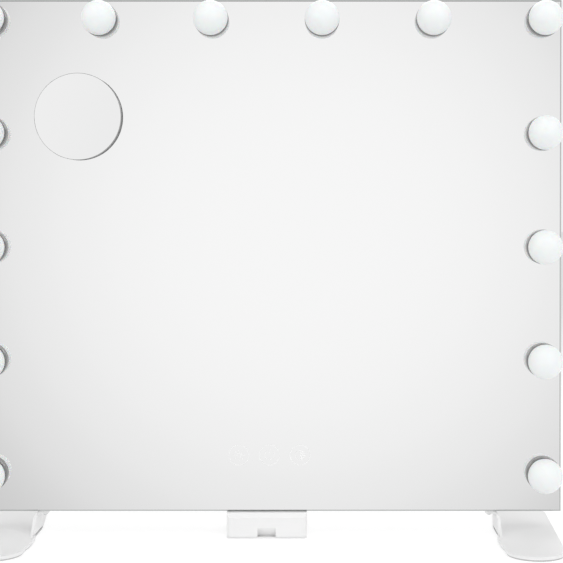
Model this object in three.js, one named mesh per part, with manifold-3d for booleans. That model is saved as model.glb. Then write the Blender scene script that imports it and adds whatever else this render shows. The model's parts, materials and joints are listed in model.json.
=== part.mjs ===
// Tabletop vanity mirror with fourteen frosted globe lamps, a round magnifier and two bent feet.
// Millimetres. +Z is up, +X is to the right and the mirror faces -Y. The origin is on the table,
// under the middle of the whole stand.

import * as THREE from 'three';
import { mergeVertices } from 'three/addons/utils/BufferGeometryUtils.js';
import Module from 'manifold-3d';

const wasm = await Module();
wasm.setup();

// Driving dimensions

const GAP = 0.3; // between pieces that touch

const PANEL = { width: 600, height: 521, bottom: 26, front: -2 };
PANEL.top = PANEL.bottom + PANEL.height;
const GLASS_THICKNESS = 3;
const GLASS_BACK = PANEL.front + GLASS_THICKNESS;

const LAMP = { columns: 6, sideRows: 4, sideInset: 18.4, topInset: 19.9, rowPitch: 115.6, facets: 14 };
LAMP.columnPitch = (PANEL.width - 2 * LAMP.sideInset) / (LAMP.columns - 1);
const COLLAR = { radius: 17.6, height: 5, seatRadius: 14.9, seatHeight: 3, boreRadius: 8.6 };
COLLAR.sleeveRadius = 10;
COLLAR.sleeveEnd = -8.2; // behind the front of the glass
const GLOBE = { radius: 17.5, centre: 16, wall: 1.4, neckRadius: 8.2, neckEnd: -4, neckWall: 1.2 };

const RAIL = { depth: 21.5, wall: 2.4, frontLedge: 7.5, rearLedge: 12, ledgeThickness: 2 };
const RAIL_FRONT = GLASS_BACK + GAP;
const RAIL_BACK = RAIL_FRONT + RAIL.depth;
const BRACKET = { leg: 32, thickness: 2, height: 12, front: RAIL_FRONT + 6.5 };
const BACK_PANEL = { inset: 3, thickness: 1.4 };

const STRIP = { width: 12, thickness: 1.6, front: 6.6, end: 8, chip: 5, chipHeight: 0.9 };

const TOUCH = { x: 2.7, z: PANEL.bottom + 57.5, width: 92, height: 24, thickness: 1.2 };
const BOARD = { width: 96, height: 44, thickness: 1.6, y: 13, z: PANEL.bottom + 62 };

const MAGNIFIER = { x: -191.2, z: PANEL.top - 118.8, radius: 44, facets: 40 };
MAGNIFIER.padRadius = 30;
MAGNIFIER.padThickness = 1.5;
MAGNIFIER.dishRadius = MAGNIFIER.radius - 0.4;
MAGNIFIER.dishDepth = 3.8;
MAGNIFIER.dishWall = 1.8;
MAGNIFIER.mirrorEdge = 2.2;
MAGNIFIER.sag = 0.4; // how far the middle of the concave mirror lies behind its edge

const FOOT = { inner: 235, innerFront: 234, innerRear: 243, outerRear: 299.2, sheet: 3 };
FOOT.frontRadius = 28.7;
FOOT.underside = 1.5;
FOOT.front = PANEL.front - 102;
FOOT.rear = -FOOT.front;
FOOT.rearRadius = 14;
FOOT.innerRearRadius = 6;
FOOT.flare = { rear: -8, front: -62, x: 229.5, y: -34 }; // the plate's edge swells inward under the fillet
FOOT.wallRear = 32;
FOOT.wallFillet = 28; // where the wall's front edge runs forward into the plate
FOOT.bend = 4; // outer radius of the bend at the floor
FOOT.topBend = 8; // outer radius of the bend under the rail
FOOT.tabTip = 224.2;
FOOT.tabFront = 1;
FOOT.tabRear = 30;
const PAD_INSET = 1;
const FOOT_SCREW = { x: 227.4, headRadius: 2.6, headHeight: 1.4, shankRadius: 1.5, length: 8 };
FOOT_SCREW.y = [5.5, 15.5];

const HUB = { width: 81.5, height: PANEL.bottom - GAP, front: PANEL.front - 10, rear: 60 };
HUB.wall = 2;
HUB.corner = 5;
HUB.coverThickness = 1.5;
HUB.chamfer = 4.4; // along the top front edge
const TONGUE = { width: 60, top: 98, thickness: 5, corner: 8 };
TONGUE.front = RAIL_BACK + 2 * GAP + BACK_PANEL.thickness;
const WIRE_HOLE_Z = 45;
const HUB_SCREW = { z: 78, headRadius: 5, headHeight: 3, shankRadius: 2.4 };

const NOTCH = { width: 18.4, top: 11, depth: 6.5, wall: 1.6 };
const HUB_BOARD = { width: 68, front: 14, rear: 57, bottom: 3.6, thickness: 1.8 };
const DC = { width: 13, height: 11, depth: 14, z: 11.2, x: 24, boreRadius: 3.2, boreDepth: 9.5, pinRadius: 1 };

// Colours and finishes

const FINISH = {
  frostedGlobe: { color: 0xf7f7f5, roughness: 0.45, metalness: 0 },
  chrome: { color: 0xc9ccd0, roughness: 0.12, metalness: 1 },
  mirror: { color: 0xe6e9e8, roughness: 0.03, metalness: 1 },
  whitePaint: { color: 0xf2f2f2, roughness: 0.35, metalness: 0 },
  whitePlastic: { color: 0xf4f4f4, roughness: 0.4, metalness: 0 },
  aluminium: { color: 0xd9dbdd, roughness: 0.4, metalness: 0.9 },
  steel: { color: 0xb9bcc0, roughness: 0.35, metalness: 1 },
  blackPlastic: { color: 0x1c1c1e, roughness: 0.5, metalness: 0 },
  rubber: { color: 0xc4c6c6, roughness: 0.85, metalness: 0 },
  circuitBoard: { color: 0xe9ebe6, roughness: 0.5, metalness: 0 },
};

const vanityMirror = new THREE.Group();

function addMesh(parent, name, geometry, finish) {
  const mesh = new THREE.Mesh(geometry, new THREE.MeshStandardMaterial(FINISH[finish]));
  mesh.name = name;
  parent.add(mesh);
  return mesh;
}

// Solids

function toSolid(geometry) {
  const bare = geometry.clone();
  bare.deleteAttribute('normal');
  bare.deleteAttribute('uv');
  const merged = mergeVertices(bare, 1e-4);
  const vertProperties = new Float32Array(merged.attributes.position.array);
  const triVerts = new Uint32Array(merged.index.array);
  return new wasm.Manifold(new wasm.Mesh({ numProp: 3, vertProperties, triVerts }));
}

function toGeometry(solid) {
  const mesh = solid.getMesh();
  const geometry = new THREE.BufferGeometry();
  geometry.setAttribute('position', new THREE.BufferAttribute(new Float32Array(mesh.vertProperties), 3));
  geometry.setIndex(new THREE.BufferAttribute(new Uint32Array(mesh.triVerts), 1));
  geometry.computeVertexNormals();
  return geometry;
}

// A block from its lowest and highest corners.
function block([x0, y0, z0], [x1, y1, z1]) {
  const geometry = new THREE.BoxGeometry(x1 - x0, y1 - y0, z1 - z0);
  return geometry.translate((x0 + x1) / 2, (y0 + y1) / 2, (z0 + z1) / 2);
}

// A disc or pin between two points of one axis.
function pin(axis, radius, from, to, facets = 16) {
  const geometry = new THREE.CylinderGeometry(radius, radius, to - from, facets);
  geometry.translate(0, (from + to) / 2, 0);
  if (axis === 'z') geometry.rotateX(Math.PI / 2);
  return geometry;
}

// A flat outline in X and Z, given thickness along Y from front to back.
function upright(shape, front, back, curveSegments = 6) {
  const options = { depth: back - front, bevelEnabled: false, curveSegments };
  return new THREE.ExtrudeGeometry(shape, options).rotateX(Math.PI / 2).translate(0, back, 0);
}

// A flat outline in X and Y, given thickness along Z.
function lying(shape, bottom, top, curveSegments = 6) {
  const options = { depth: top - bottom, bevelEnabled: false, curveSegments };
  return new THREE.ExtrudeGeometry(shape, options).translate(0, 0, bottom);
}

// A turned piece about an axis along Y. Each point is [radius, distance in front of y = 0].
function turned(points, facets) {
  const profile = points.map(([radius, ahead]) => new THREE.Vector2(radius, -ahead));
  return new THREE.LatheGeometry(profile.reverse(), facets);
}

// A flat outline in Y and Z, given thickness along X.
function acrossX(shape, from, to) {
  const geometry = new THREE.ExtrudeGeometry(shape, { depth: to - from, bevelEnabled: false, curveSegments: 6 });
  const alongX = new THREE.Matrix4().makeBasis(
    new THREE.Vector3(0, 1, 0),
    new THREE.Vector3(0, 0, 1),
    new THREE.Vector3(1, 0, 0),
  );
  return geometry.applyMatrix4(alongX).translate(from, 0, 0);
}

function roundedRectangle(x0, y0, x1, y1, radius) {
  const shape = new THREE.Shape();
  shape.moveTo(x0 + radius, y0);
  shape.lineTo(x1 - radius, y0);
  shape.absarc(x1 - radius, y0 + radius, radius, -Math.PI / 2, 0);
  shape.lineTo(x1, y1 - radius);
  shape.absarc(x1 - radius, y1 - radius, radius, 0, Math.PI / 2);
  shape.lineTo(x0 + radius, y1);
  shape.absarc(x0 + radius, y1 - radius, radius, Math.PI / 2, Math.PI);
  shape.lineTo(x0, y0 + radius);
  shape.absarc(x0 + radius, y0 + radius, radius, Math.PI, 1.5 * Math.PI);
  return shape;
}

// Where the lamps stand

function lampPlaces() {
  const edge = PANEL.width / 2 - LAMP.sideInset;
  const topRow = PANEL.top - LAMP.topInset;
  const places = [];
  for (let i = 0; i < LAMP.columns; i += 1) {
    places.push({ name: `top_${i + 1}`, x: -edge + i * LAMP.columnPitch, z: topRow });
  }
  for (const [side, x] of [['left', -edge], ['right', edge]]) {
    for (let i = 1; i <= LAMP.sideRows; i += 1) {
      places.push({ name: `${side}_${i}`, x, z: topRow - i * LAMP.rowPitch });
    }
  }
  return places;
}

const lamps = lampPlaces();

// The mirror glass, bored for the sleeve of each lamp

function mirrorGlass() {
  const half = PANEL.width / 2;
  const outline = new THREE.Shape();
  outline.moveTo(-half, PANEL.bottom);
  outline.lineTo(half, PANEL.bottom);
  outline.lineTo(half, PANEL.top);
  outline.lineTo(-half, PANEL.top);
  for (const { x, z } of lamps) {
    const bore = new THREE.Path();
    bore.absarc(x, z, COLLAR.sleeveRadius + GAP, 0, 2 * Math.PI);
    outline.holes.push(bore);
  }
  return upright(outline, PANEL.front, GLASS_BACK, LAMP.facets / 2);
}

// A mitred frame rail of C section. It lies along X with its outer wall at z = 0.
function frameRail(length) {
  const { depth, wall, frontLedge, rearLedge, ledgeThickness } = RAIL;
  const section = new THREE.Shape();
  section.moveTo(0, 0);
  section.lineTo(depth, 0);
  section.lineTo(depth, rearLedge);
  section.lineTo(depth - ledgeThickness, rearLedge);
  section.lineTo(depth - ledgeThickness, wall);
  section.lineTo(ledgeThickness, wall);
  section.lineTo(ledgeThickness, frontLedge);
  section.lineTo(0, frontLedge);
  const geometry = acrossX(section, -length / 2, length / 2);
  const position = geometry.attributes.position;
  for (let i = 0; i < position.count; i += 1) {
    const reach = length / 2 - position.getZ(i) - GAP;
    position.setX(i, Math.sign(position.getX(i)) * reach);
  }
  return geometry;
}

// The bottom rail is bored for the screws of both feet.
function boredBottomRail() {
  let rail = toSolid(frameRail(PANEL.width));
  for (const side of [-1, 1]) {
    for (const y of FOOT_SCREW.y) {
      const bore = pin('z', FOOT_SCREW.shankRadius + GAP, -1, RAIL.wall + 1, 12);
      rail = rail.subtract(toSolid(bore.translate(side * FOOT_SCREW.x, y - RAIL_FRONT, 0)));
    }
  }
  return toGeometry(rail);
}

function addFrame(parent) {
  const middle = (PANEL.bottom + PANEL.top) / 2;
  const half = PANEL.width / 2;
  const rails = [
    ['bottom', PANEL.width, 0, PANEL.bottom, 0],
    ['right', PANEL.height, half, middle, -Math.PI / 2],
    ['top', PANEL.width, 0, PANEL.top, Math.PI],
    ['left', PANEL.height, -half, middle, Math.PI / 2],
  ];
  for (const [side, length, x, z, turn] of rails) {
    const geometry = side === 'bottom' ? boredBottomRail() : frameRail(length);
    const rail = addMesh(parent, `frame_rail_${side}`, geometry, 'aluminium');
    rail.position.set(x, RAIL_FRONT, z);
    rail.rotation.y = turn;
  }
}

// An L of flat bar that ties two rails together inside their channels.
function addCornerBrackets(parent) {
  const inner = RAIL.wall + GAP;
  const shape = new THREE.Shape();
  shape.moveTo(inner, inner);
  shape.lineTo(BRACKET.leg, inner);
  shape.lineTo(BRACKET.leg, inner + BRACKET.thickness);
  shape.lineTo(inner + BRACKET.thickness, inner + BRACKET.thickness);
  shape.lineTo(inner + BRACKET.thickness, BRACKET.leg);
  shape.lineTo(inner, BRACKET.leg);
  const corners = [
    ['bottom_left', -1, PANEL.bottom, 0],
    ['bottom_right', 1, PANEL.bottom, -Math.PI / 2],
    ['top_right', 1, PANEL.top, Math.PI],
    ['top_left', -1, PANEL.top, Math.PI / 2],
  ];
  for (const [corner, side, z, turn] of corners) {
    const geometry = upright(shape, BRACKET.front, BRACKET.front + BRACKET.height);
    const bracket = addMesh(parent, `corner_bracket_${corner}`, geometry, 'steel');
    bracket.position.set((side * PANEL.width) / 2, 0, z);
    bracket.rotation.y = turn;
  }
}

function backPanel() {
  const half = PANEL.width / 2 - BACK_PANEL.inset;
  const bottom = PANEL.bottom + BACK_PANEL.inset;
  const outline = roundedRectangle(-half, bottom, half, PANEL.top - BACK_PANEL.inset, 3);
  for (const [z, radius] of [[HUB_SCREW.z, HUB_SCREW.shankRadius + GAP], [WIRE_HOLE_Z, 6]]) {
    const hole = new THREE.Path();
    hole.absarc(0, z, radius, 0, 2 * Math.PI);
    outline.holes.push(hole);
  }
  const front = RAIL_BACK + GAP;
  return upright(outline, front, front + BACK_PANEL.thickness);
}

// Lamps: a chrome collar with a sleeve through the glass, and a hollow frosted globe in its seat

function collar() {
  const { radius, height, seatRadius, seatHeight, boreRadius, sleeveRadius, sleeveEnd } = COLLAR;
  const edge = 1.4;
  return turned([
    [sleeveRadius, GAP],
    [radius, GAP],
    [radius, height - edge],
    [radius - edge, height],
    [seatRadius, height],
    [seatRadius, seatHeight],
    [boreRadius, seatHeight],
    [boreRadius, sleeveEnd],
    [sleeveRadius, sleeveEnd],
    [sleeveRadius, GAP],
  ], LAMP.facets);
}

// Points of a ball's outline, from the level where it is cut to the tip on the axis.
function ballArc(radius, cutLevel, steps) {
  const start = Math.asin((cutLevel - GLOBE.centre) / radius);
  const points = [];
  for (let i = 0; i < steps; i += 1) {
    const angle = start + ((Math.PI / 2 - start) * i) / steps;
    points.push([radius * Math.cos(angle), GLOBE.centre + radius * Math.sin(angle)]);
  }
  points.push([0, GLOBE.centre + radius]);
  return points;
}

function globe() {
  const shoulder = COLLAR.seatHeight + GAP;
  const outer = ballArc(GLOBE.radius, COLLAR.height, 6);
  const inner = ballArc(GLOBE.radius - GLOBE.wall, COLLAR.height + GLOBE.wall, 3).reverse();
  return turned([
    ...inner,
    [GLOBE.neckRadius - GLOBE.neckWall, shoulder + GLOBE.wall],
    [GLOBE.neckRadius - GLOBE.neckWall, GLOBE.neckEnd],
    [GLOBE.neckRadius, GLOBE.neckEnd],
    [GLOBE.neckRadius, shoulder],
    [outer[0][0], shoulder],
    ...outer,
  ], LAMP.facets);
}

function addLamps(parent) {
  for (const { name, x, z } of lamps) {
    const lamp = new THREE.Group();
    lamp.position.set(x, PANEL.front, z);
    addMesh(lamp, `lamp_collar_${name}`, collar(), 'chrome');
    addMesh(lamp, `lamp_globe_${name}`, globe(), 'frostedGlobe');
    parent.add(lamp);
  }
}

// A circuit strip behind a row of lamps, with one light-emitting chip under each globe
function ledStrip(corner, opposite, chips) {
  const { front, thickness, chip, chipHeight } = STRIP;
  let strip = toSolid(block([corner[0], front, corner[1]], [opposite[0], front + thickness, opposite[1]]));
  for (const { x, z } of chips) {
    const low = [x - chip / 2, front - chipHeight, z - chip / 2];
    const high = [x + chip / 2, front + thickness / 2, z + chip / 2];
    strip = strip.add(toSolid(block(low, high)));
  }
  return toGeometry(strip);
}

function addLedStrips(parent) {
  const half = STRIP.width / 2;
  const { end } = STRIP;
  const top = lamps.filter(({ name }) => name.startsWith('top'));
  const { z: rowZ } = top[0];
  const topStrip = ledStrip([top[0].x - end, rowZ - half], [-top[0].x + end, rowZ + half], top);
  addMesh(parent, 'led_strip_top', topStrip, 'circuitBoard');
  for (const side of ['left', 'right']) {
    const chips = lamps.filter(({ name }) => name.startsWith(side));
    const { x } = chips[0];
    const lowest = chips[chips.length - 1].z - end;
    const strip = ledStrip([x - half, lowest], [x + half, rowZ - half - GAP], chips);
    addMesh(parent, `led_strip_${side}`, strip, 'circuitBoard');
  }
}

// Electronics inside the panel

function controlBoard() {
  const { width, height, thickness, y, z } = BOARD;
  const low = z - height / 2;
  const parts = [
    block([-width / 2, y, low], [width / 2, y + thickness, low + height]),
    block([-12, y - 1.6, z - 6], [0, y + thickness / 2, z + 6]),
    block([14, y - 4, z - 8], [28, y + thickness / 2, z + 6]),
    block([-42, y - 5, low + 3], [-30, y + thickness / 2, low + 11]),
    block([30, y - 5, low + 3], [42, y + thickness / 2, low + 11]),
  ];
  return toGeometry(parts.map(toSolid).reduce((sum, piece) => sum.add(piece)));
}

// One bundle of wires that runs from the left strip past the control board to the right strip.
function wiringHarness() {
  const edge = PANEL.width / 2 - LAMP.sideInset;
  const stripEnd = lamps[lamps.length - 1].z - STRIP.end;
  const low = PANEL.bottom + 21;
  const y = STRIP.front + STRIP.thickness + 2.6;
  const nodes = [
    [-edge, y, stripEnd - 1],
    [-edge + 6, y, low + 2],
    [-edge + 22, y, low - 1],
    [-150, y, low],
    [0, y - 1, low - 2],
    [150, y, low],
    [edge - 22, y, low - 1],
    [edge - 6, y, low + 2],
    [edge, y, stripEnd - 1],
  ];
  const route = new THREE.CatmullRomCurve3(nodes.map((point) => new THREE.Vector3(...point)));
  route.curveType = 'centripetal';
  const section = new THREE.Shape();
  section.absarc(0, 0, 1.6, 0, 2 * Math.PI);
  const options = { extrudePath: route, steps: 36, bevelEnabled: false, curveSegments: 3 };
  return new THREE.ExtrudeGeometry(section, options);
}

function addElectronics(parent) {
  addLedStrips(parent);
  const { x, z, width, height, thickness } = TOUCH;
  const touchFront = GLASS_BACK + GAP;
  const touchLow = [x - width / 2, touchFront, z - height / 2];
  const touchHigh = [x + width / 2, touchFront + thickness, z + height / 2];
  addMesh(parent, 'touch_sensor_board', block(touchLow, touchHigh), 'circuitBoard');
  addMesh(parent, 'control_board', controlBoard(), 'circuitBoard');
  addMesh(parent, 'wiring_harness', wiringHarness(), 'blackPlastic');
}

// The magnifier: a concave mirror on a shallow dish, held on the glass by a soft pad

function addMagnifier(parent) {
  const { radius, facets, padRadius, padThickness, dishRadius, dishDepth, dishWall } = MAGNIFIER;
  const { mirrorEdge, sag } = MAGNIFIER;
  const back = padThickness + 2 * GAP;
  const lip = back + dishDepth;
  const round = 1;
  const dish = turned([
    [0, back],
    [dishRadius - round, back],
    [dishRadius, back + round],
    [dishRadius, lip],
    [dishRadius - dishWall, lip],
    [dishRadius - dishWall, back + dishWall],
    [0, back + dishWall],
  ], facets);
  const mirrorBack = lip + GAP;
  const mirrorFront = mirrorBack + mirrorEdge;
  const mirror = turned([
    [0, mirrorBack],
    [radius, mirrorBack],
    [radius, mirrorFront],
    [radius / 2, mirrorFront - 0.75 * sag],
    [0, mirrorFront - sag],
  ], facets);
  const pad = turned([[0, GAP], [padRadius, GAP], [padRadius, GAP + padThickness], [0, GAP + padThickness]], 24);
  const magnifier = new THREE.Group();
  magnifier.position.set(MAGNIFIER.x, PANEL.front, MAGNIFIER.z);
  addMesh(magnifier, 'magnifier_dish', dish, 'chrome');
  addMesh(magnifier, 'magnifier_mirror', mirror, 'mirror');
  addMesh(magnifier, 'magnifier_pad', pad, 'rubber');
  parent.add(magnifier);
}

// Feet: one bent sheet each, with a floor plate, a short wall and a tab under the bottom rail

// The floor plate's outline on the right foot. inset shrinks it for the pad underneath.
function footOutline(inset) {
  const inner = FOOT.inner + inset;
  const frontRadius = FOOT.frontRadius - inset;
  const middleX = FOOT.innerFront + FOOT.frontRadius;
  const middleY = FOOT.front + FOOT.frontRadius;
  const outer = FOOT.outerRear - inset;
  const rear = FOOT.rear - inset;
  const innerRear = FOOT.innerRear + inset;
  const innerFront = FOOT.innerFront + inset;
  const { rearRadius, innerRearRadius, wallRear, flare } = FOOT;
  const shape = new THREE.Shape();
  shape.moveTo(innerFront, middleY);
  shape.absarc(middleX, middleY, frontRadius, Math.PI, 2 * Math.PI);
  shape.lineTo(outer, rear - rearRadius);
  shape.absarc(outer - rearRadius, rear - rearRadius, rearRadius, 0, Math.PI / 2);
  shape.lineTo(innerRear + innerRearRadius, rear);
  shape.absarc(innerRear + innerRearRadius, rear - innerRearRadius, innerRearRadius, Math.PI / 2, Math.PI);
  shape.lineTo(inner, wallRear);
  shape.lineTo(inner, flare.rear);
  shape.quadraticCurveTo(flare.x + inset, flare.y, innerFront, flare.front);
  return shape;
}

// The wall with its two bends, seen from the front: up from the plate, then inward under the rail.
function footWall() {
  const { inner, sheet, underside, bend, topBend, tabTip } = FOOT;
  const tabTop = PANEL.bottom - GAP;
  const outer = inner + sheet;
  const shape = new THREE.Shape();
  shape.moveTo(tabTip, tabTop - sheet);
  shape.lineTo(outer - topBend, tabTop - sheet);
  shape.absarc(outer - topBend, tabTop - topBend, topBend - sheet, Math.PI / 2, 0, true);
  shape.lineTo(inner, underside + bend);
  shape.absarc(inner + bend, underside + bend, bend, Math.PI, 1.5 * Math.PI);
  shape.lineTo(inner + bend + 2, underside);
  shape.lineTo(inner + bend + 2, underside + sheet);
  shape.lineTo(inner + bend, underside + sheet);
  shape.absarc(inner + bend, underside + bend, bend - sheet, 1.5 * Math.PI, Math.PI, true);
  shape.lineTo(outer, tabTop - topBend);
  shape.absarc(outer - topBend, tabTop - topBend, topBend, 0, Math.PI / 2);
  shape.lineTo(tabTip, tabTop);
  return shape;
}

// The space in front of the wall, down to the fillet where its edge runs forward into the plate.
function spaceBeforeWall() {
  const { inner, sheet, underside, wallFillet, tabTip, bend } = FOOT;
  const start = PANEL.front - wallFillet;
  const level = underside + sheet;
  const top = PANEL.bottom + 1;
  const endAngle = -Math.asin((level + wallFillet - top) / wallFillet);
  const shape = new THREE.Shape();
  shape.moveTo(start - 1, level);
  shape.lineTo(start, level);
  shape.absarc(start, level + wallFillet, wallFillet, -Math.PI / 2, endAngle);
  shape.lineTo(start - 1, top);
  return acrossX(shape, tabTip - 1, inner + bend + 4);
}

function rightFoot() {
  const { inner, sheet, underside, bend, tabFront, tabRear, wallRear, tabTip, wallFillet } = FOOT;
  const { y: screwPlaces, x: screwX, shankRadius } = FOOT_SCREW;
  const wallFront = PANEL.front - wallFillet;
  const plate = toSolid(lying(footOutline(0), underside, underside + sheet, 8));
  const atBend = block([inner - 1, FOOT.flare.rear, 0], [inner + bend, wallRear, underside + 2 * sheet]);
  const besideFront = block([tabTip - 1, wallFront - 1, 20], [inner - 0.5, tabFront, 40]);
  const besideRear = block([tabTip - 1, tabRear, 20], [inner - 0.5, wallRear + 1, 40]);
  let wall = toSolid(upright(footWall(), wallFront, wallRear, 3));
  for (const cut of [spaceBeforeWall(), besideFront, besideRear]) wall = wall.subtract(toSolid(cut));
  let foot = plate.subtract(toSolid(atBend)).add(wall);
  for (const y of screwPlaces) {
    const bore = pin('z', shankRadius + GAP, 15, 40, 12).translate(screwX, y, 0);
    foot = foot.subtract(toSolid(bore));
  }
  return foot;
}

function mirrored(solid) {
  return solid.mirror([1, 0, 0]);
}

// A pan-head screw pointing up into the bottom rail.
function footScrew() {
  const head = FOOT_SCREW.headHeight;
  const seat = PANEL.bottom - GAP - FOOT.sheet - GAP;
  return turned([
    [0, 0],
    [FOOT_SCREW.headRadius - 0.8, 0],
    [FOOT_SCREW.headRadius, 0.7],
    [FOOT_SCREW.headRadius, head],
    [FOOT_SCREW.shankRadius, head],
    [FOOT_SCREW.shankRadius, head + FOOT_SCREW.length],
    [0, head + FOOT_SCREW.length],
  ], 12).rotateX(-Math.PI / 2).translate(0, 0, seat - head);
}

function addFeet(parent) {
  const foot = rightFoot();
  const pad = toSolid(lying(footOutline(PAD_INSET), 0, FOOT.underside - GAP, 6));
  for (const [side, direction] of [['left', -1], ['right', 1]]) {
    const turnedOver = (solid) => (direction < 0 ? mirrored(solid) : solid);
    addMesh(parent, `foot_${side}`, toGeometry(turnedOver(foot)), 'whitePaint');
    addMesh(parent, `foot_pad_${side}`, toGeometry(turnedOver(pad)), 'rubber');
    for (const [place, y] of [['front', FOOT_SCREW.y[0]], ['rear', FOOT_SCREW.y[1]]]) {
      const screw = addMesh(parent, `foot_screw_${side}_${place}`, footScrew(), 'steel');
      screw.position.set(direction * FOOT_SCREW.x, y, 0);
    }
  }
}

// The hub: a low box on the table with a tongue up the back of the panel

// The notch low in the hub's front: its roof starts flush with the face and slopes inward.
function notchCut() {
  const { width, top, depth } = NOTCH;
  const bottom = HUB.coverThickness;
  const shape = new THREE.Shape();
  shape.moveTo(HUB.front - 1, bottom - 1);
  shape.lineTo(HUB.front - 1, top);
  shape.lineTo(HUB.front, top);
  shape.lineTo(HUB.front + depth, bottom + GAP + 1);
  shape.lineTo(HUB.front + depth, bottom - 1);
  return acrossX(shape, -width / 2, width / 2);
}

function chamferCut() {
  const { front, height, chamfer, width } = HUB;
  const shape = new THREE.Shape();
  shape.moveTo(front - 1, height - chamfer - 1);
  shape.lineTo(front + chamfer + 1, height + 1);
  shape.lineTo(front - 1, height + 1);
  return acrossX(shape, -width / 2 - 1, width / 2 + 1);
}

function hubHousing() {
  const { width, height, front, rear, wall, corner, coverThickness } = HUB;
  const half = width / 2;
  const bottom = coverThickness + GAP;
  const outer = lying(roundedRectangle(-half, front, half, rear, corner), bottom, height, 4);
  const inside = roundedRectangle(-half + wall, front + wall, half - wall, rear - wall, corner - wall);
  const hollow = lying(inside, bottom - 1, height - HUB.chamfer - wall, 4);
  const notchHalf = NOTCH.width / 2 + NOTCH.wall;
  const notchBack = front + NOTCH.depth + NOTCH.wall;
  const notchTop = NOTCH.top + NOTCH.wall;
  const surround = block([-notchHalf, front + wall / 2, bottom], [notchHalf, notchBack, notchTop]);
  const dcHalf = DC.width / 2 + GAP;
  const dcLow = DC.z - DC.height / 2 - GAP;
  const dcHigh = dcLow + DC.height + 2 * GAP;
  const dcHole = block([DC.x - dcHalf, rear - 4, dcLow], [DC.x + dcHalf, rear + 1, dcHigh]);
  const tongueHalf = TONGUE.width / 2;
  const tongueBack = TONGUE.front + TONGUE.thickness;
  const tongueShape = roundedRectangle(-tongueHalf, height - 1, tongueHalf, TONGUE.top, TONGUE.corner);
  const tongue = upright(tongueShape, TONGUE.front, tongueBack, 4);
  const cornerTop = height + TONGUE.corner;
  const tongueFoot = block([-tongueHalf, TONGUE.front, height - 1], [tongueHalf, tongueBack, cornerTop]);
  const bore = (radius, z) => pin('y', radius, TONGUE.front - 1, tongueBack + 1).translate(0, 0, z);
  let housing = toSolid(outer).subtract(toSolid(hollow)).add(toSolid(surround));
  for (const added of [tongue, tongueFoot]) housing = housing.add(toSolid(added));
  const screwBore = bore(HUB_SCREW.shankRadius + GAP, HUB_SCREW.z);
  const wireHole = bore(5, WIRE_HOLE_Z);
  for (const cut of [notchCut(), chamferCut(), dcHole, screwBore, wireHole]) {
    housing = housing.subtract(toSolid(cut));
  }
  return toGeometry(housing);
}

function hubBoard() {
  const { width, front, rear, bottom, thickness } = HUB_BOARD;
  const top = bottom + thickness;
  const parts = [
    block([-width / 2, front, bottom], [width / 2, rear, top]),
    block([-26, front + 6, bottom + thickness / 2], [-14, front + 18, top + 7]),
    block([-6, front + 4, bottom + thickness / 2], [6, front + 16, top + 2]),
  ];
  return toGeometry(parts.map(toSolid).reduce((sum, piece) => sum.add(piece)));
}

function dcSocket() {
  const { width, height, depth, z, boreRadius, boreDepth, pinRadius } = DC;
  const rear = HUB.rear;
  const body = block([-width / 2, rear - depth, z - height / 2], [width / 2, rear, z + height / 2]);
  const bore = pin('y', boreRadius, rear - boreDepth, rear + 1, 16).translate(0, 0, z);
  const contact = pin('y', pinRadius, rear - boreDepth - 1, rear - 1, 8).translate(0, 0, z);
  return toGeometry(toSolid(body).subtract(toSolid(bore)).add(toSolid(contact)));
}

// A round-headed screw through the tongue and the back panel.
function hubScrew() {
  const back = TONGUE.front + TONGUE.thickness + GAP;
  const head = HUB_SCREW.headHeight;
  return turned([
    [0, -back - head],
    [HUB_SCREW.headRadius - 1.4, -back - head],
    [HUB_SCREW.headRadius, -back - head + 1.2],
    [HUB_SCREW.headRadius, -back],
    [HUB_SCREW.shankRadius, -back],
    [HUB_SCREW.shankRadius, -RAIL_BACK + 1],
    [0, -RAIL_BACK + 1],
  ], 20);
}

function addHub(parent) {
  addMesh(parent, 'hub_housing', hubHousing(), 'whitePlastic');
  const half = HUB.width / 2;
  const cover = lying(roundedRectangle(-half, HUB.front, half, HUB.rear, HUB.corner), 0, HUB.coverThickness, 4);
  addMesh(parent, 'hub_base_cover', cover, 'whitePlastic');
  addMesh(parent, 'hub_board', hubBoard(), 'circuitBoard');
  addMesh(parent, 'dc_socket', dcSocket(), 'blackPlastic').position.x = DC.x;
  addMesh(parent, 'hub_screw', hubScrew(), 'steel').position.z = HUB_SCREW.z;
}

addMesh(vanityMirror, 'mirror_glass', mirrorGlass(), 'mirror');
addFrame(vanityMirror);
addCornerBrackets(vanityMirror);
addMesh(vanityMirror, 'back_panel', backPanel(), 'whitePaint');
addLamps(vanityMirror);
addElectronics(vanityMirror);
addMagnifier(vanityMirror);
addFeet(vanityMirror);
addHub(vanityMirror);

export default vanityMirror;
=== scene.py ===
"""Looks of a tabletop vanity mirror with globe lamps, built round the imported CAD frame.

Metres. +Z is up, +X is to the right and the mirror faces -Y, as in the CAD model.
"""

import json
import math

import bmesh
import bpy
from mathutils import Matrix, Vector


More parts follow.
